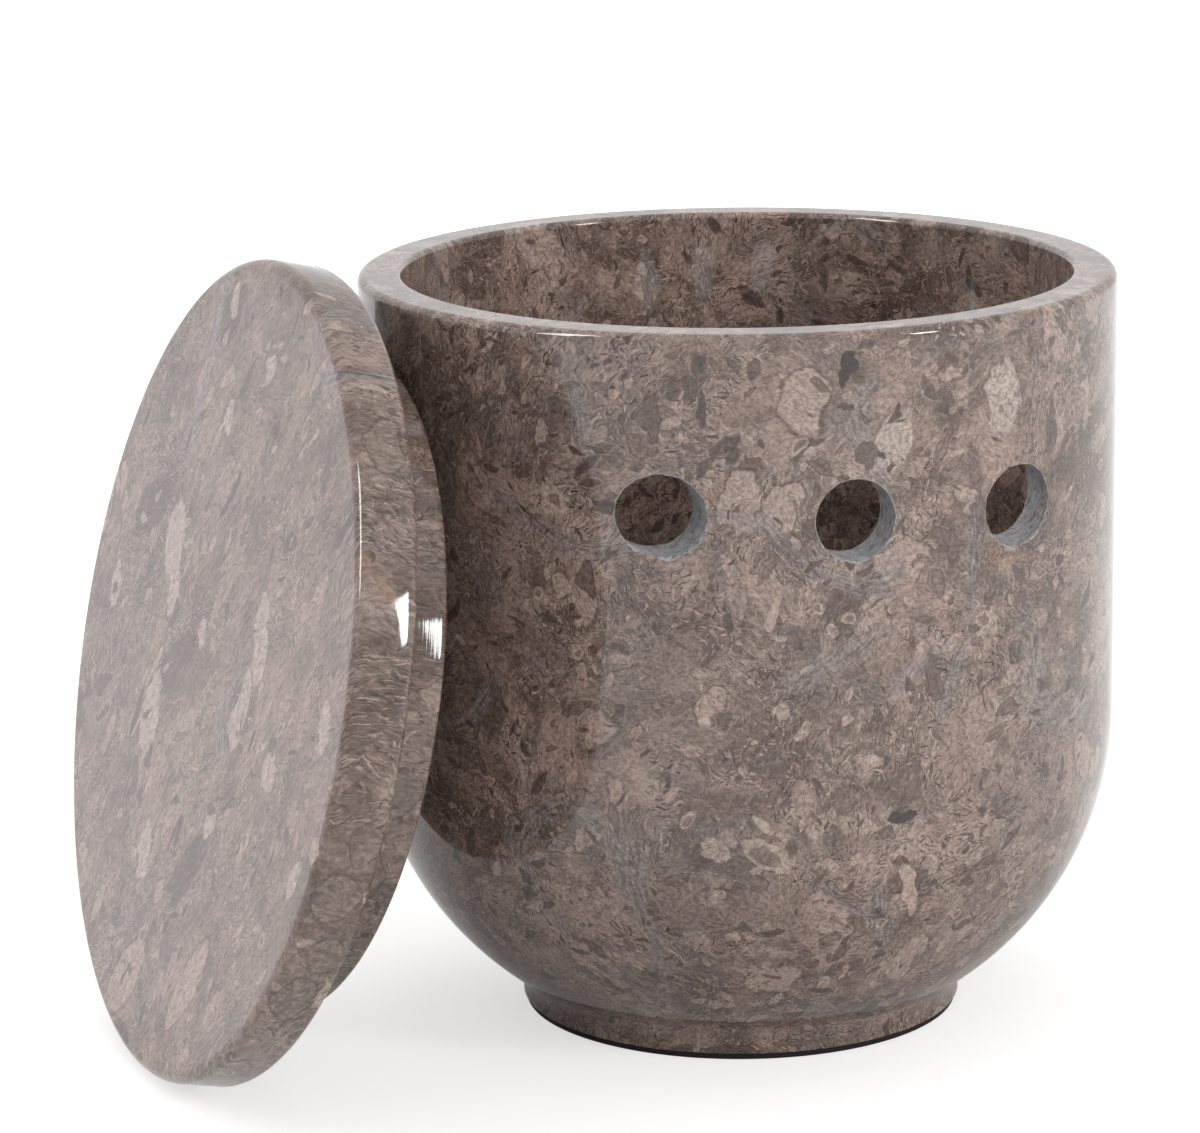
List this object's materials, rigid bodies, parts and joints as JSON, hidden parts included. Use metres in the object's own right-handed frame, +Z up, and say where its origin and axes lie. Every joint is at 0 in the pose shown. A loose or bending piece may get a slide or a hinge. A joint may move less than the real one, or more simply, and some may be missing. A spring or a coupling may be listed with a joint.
{
  "type": "garlic keeper",
  "caption": "Turned stone storage jar with drilled air vents, a rounded base on a short foot, a thin pad underneath and a loose plug lid leaning on its side.",
  "frame": {"origin": "centre of the pad's underside, on the floor on the jar's axis", "axes": "+Z up along the jar's axis, vents drilled along Y with the seen row facing -Y, lid leaning on the -X side"},
  "size_m": [0.1736, 0.1411, 0.1333],
  "materials": {
    "jar_stone": "polished brown-grey fossil limestone",
    "lid_stone": "polished brown-grey fossil limestone, paler",
    "pad": "matt black non-slip sheet"
  },
  "bodies": {
    "jar": {"jar": "jar_stone", "foot_pad": "pad"},
    "lid": {"lid": "lid_stone"}
  },
  "joints": [
    {"name": "lid_lift", "type": "slide", "parent": "jar", "child": "lid", "axis": [0, 0, 1], "range_m": [0, 0.14]}
  ]
}
